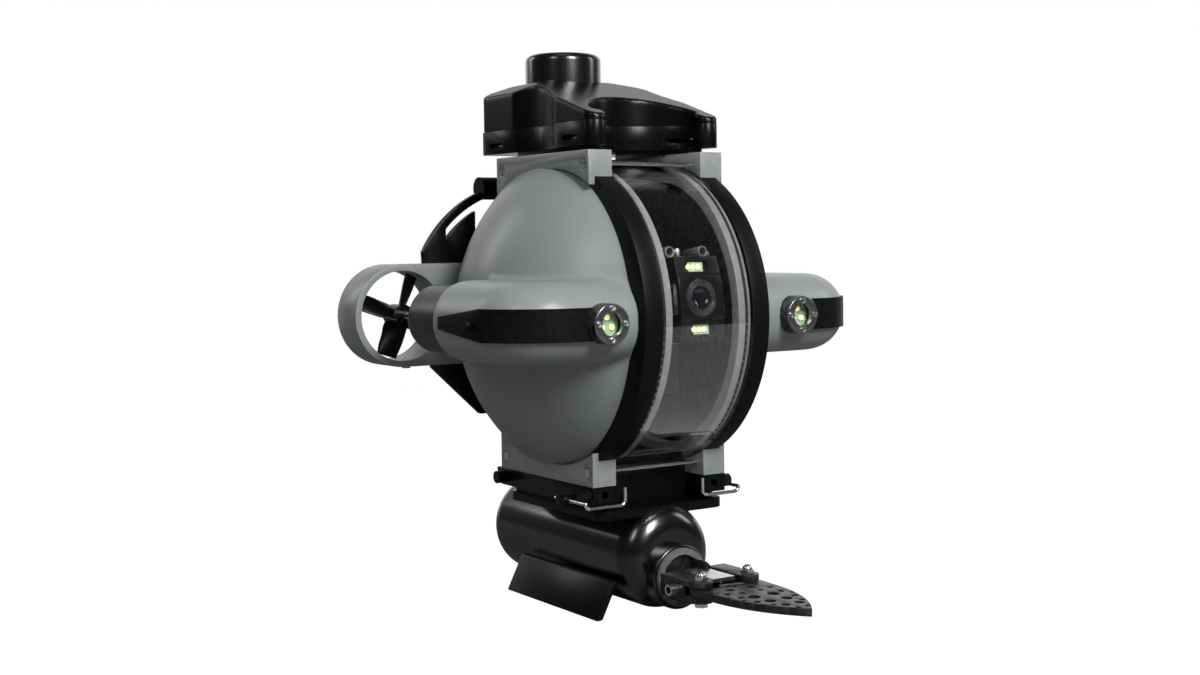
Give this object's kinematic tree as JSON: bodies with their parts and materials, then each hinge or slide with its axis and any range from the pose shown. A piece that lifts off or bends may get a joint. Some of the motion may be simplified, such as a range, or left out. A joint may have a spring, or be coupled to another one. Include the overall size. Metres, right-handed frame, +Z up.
{
  "type": "underwater inspection rov",
  "caption": "Compact tethered underwater inspection vehicle with two domed castings, a clear window ring, side thrusters, tilting camera, top sonar and a rotating gripper.",
  "frame": {"origin": "centre of the bounding box on the surface that the feet stand on", "axes": "+Z up, -Y is the front that the camera and gripper face, +X to the port side"},
  "size_m": [0.348, 0.3869, 0.435],
  "materials": {
    "casting_paint": "satin",
    "clear_window": "polished",
    "clear_glass": "polished",
    "lens_glass": "polished",
    "seal_rubber": "matte",
    "black_rubber": "matte",
    "black_moulding": "fine moulded texture",
    "black_gloss": "glossy",
    "black_anodised": "black anodised",
    "grey_metal": "satin",
    "grey_plastic": "smooth",
    "seat_grey": "smooth",
    "steel": "bright stainless",
    "board_green": "solder mask",
    "led_yellow": "phosphor",
    "battery_wrap": "shrink wrap",
    "sonar_potting": "smooth",
    "ballast_iron": "coated"
  },
  "bodies": {
    "hull": {"band_port": "black_rubber", "band_starboard": "black_rubber", "battery_packs": "battery_wrap", "bulkheads": "black_anodised", "collar_ring": "grey_plastic", "foot_port": "black_moulding", "foot_starboard": "black_moulding", "gripper_body": "black_gloss", "handle_grip": "black_rubber", "hull_dome_port": "casting_paint", "hull_dome_starboard": "casting_paint", "light_boards": "board_green", "light_housings": "black_anodised", "light_leds": "led_yellow", "light_retainers": "black_anodised", "light_screws": "steel", "light_windows": "clear_glass", "mount_plate": "black_moulding", "pad_studs": "black_rubber", "pod_pad_port": "black_rubber", "pod_pad_starboard": "black_rubber", "rail_knobs": "black_moulding", "rail_port": "black_moulding", "rail_starboard": "black_moulding", "rear_plate": "black_moulding", "shroud_port": "casting_paint", "shroud_starboard": "casting_paint", "socket_screws": "steel", "sonar_boot": "black_gloss", "sonar_cover": "black_moulding", "sonar_tray": "black_moulding", "tether_gland": "black_moulding", "thruster_can_port": "black_anodised", "thruster_can_starboard": "black_anodised", "tie_bolts": "steel", "window_ring": "clear_window", "window_seals": "seal_rubber", "window_seat_port": "seat_grey", "window_seat_starboard": "seat_grey"},
    "camera": {"camera_housing": "black_moulding", "camera_bezel": "black_anodised", "camera_lens": "lens_glass", "camera_boards": "board_green", "camera_leds": "led_yellow", "laser_tubes": "grey_metal", "camera_bracket": "black_anodised"},
    "ballast": {"pitch_ballast": "ballast_iron"},
    "propeller_starboard": {"propeller_starboard": "black_moulding", "prop_shaft_starboard": "steel"},
    "propeller_port": {"propeller_port": "black_moulding", "prop_shaft_port": "steel"},
    "sonar_head": {"sonar_transducer": "sonar_potting"},
    "gripper_head": {"gripper_yoke": "black_anodised", "cross_pin": "steel", "jaw_bolts": "steel"},
    "push_rod": {"push_rod": "steel"},
    "jaw_starboard": {"jaw_starboard": "black_anodised"},
    "jaw_port": {"jaw_port": "black_anodised"},
    "locking_pin_starboard": {"locking_pin_starboard": "steel"},
    "locking_pin_port": {"locking_pin_port": "steel"}
  },
  "joints": [
    {"name": "camera_tilt", "type": "hinge", "parent": "hull", "child": "camera", "pos_m": [0, 0.03495, 0.225], "axis": [-1, 0, 0], "range_deg": [-135, 120]},
    {"name": "ballast_swing", "type": "hinge", "parent": "hull", "child": "ballast", "pos_m": [0, 0.03495, 0.225], "axis": [1, 0, 0], "range_deg": [-90, 90]},
    {"name": "propeller_starboard_spin", "type": "hinge", "parent": "hull", "child": "propeller_starboard", "pos_m": [-0.133, 0.15395, 0.225], "axis": [0, 1, 0], "continuous": true},
    {"name": "propeller_port_spin", "type": "hinge", "parent": "hull", "child": "propeller_port", "pos_m": [0.133, 0.15395, 0.225], "axis": [0, 1, 0], "continuous": true},
    {"name": "sonar_spin", "type": "hinge", "parent": "hull", "child": "sonar_head", "pos_m": [0, 0.11295, 0.415], "axis": [0, 0, 1], "continuous": true},
    {"name": "wrist_turn", "type": "hinge", "parent": "hull", "child": "gripper_head", "pos_m": [0, -0.04405, 0.03], "axis": [0, 1, 0], "continuous": true},
    {"name": "push_rod_slide", "type": "slide", "parent": "gripper_head", "child": "push_rod", "axis": [0, -1, 0], "range_m": [0, 0.01125]},
    {"name": "jaw_starboard_open", "type": "hinge", "parent": "gripper_head", "child": "jaw_starboard", "pos_m": [-0.021, -0.09755, 0.0317], "axis": [0, 0, 1], "range_deg": [-30.1, 0]},
    {"name": "jaw_port_open", "type": "hinge", "parent": "gripper_head", "child": "jaw_port", "pos_m": [0.021, -0.09755, 0.0317], "axis": [0, 0, 1], "range_deg": [0, 30.1]},
    {"name": "locking_pin_starboard_pull", "type": "slide", "parent": "hull", "child": "locking_pin_starboard", "axis": [0, -1, 0], "range_m": [0, 0.03]},
    {"name": "locking_pin_port_pull", "type": "slide", "parent": "hull", "child": "locking_pin_port", "axis": [0, -1, 0], "range_m": [0, 0.03]}
  ],
  "couplings": [
    {"joint": "jaw_starboard_open", "follows": "push_rod_slide", "rad_per_m": -46.542},
    {"joint": "jaw_port_open", "follows": "push_rod_slide", "rad_per_m": 46.542}
  ]
}
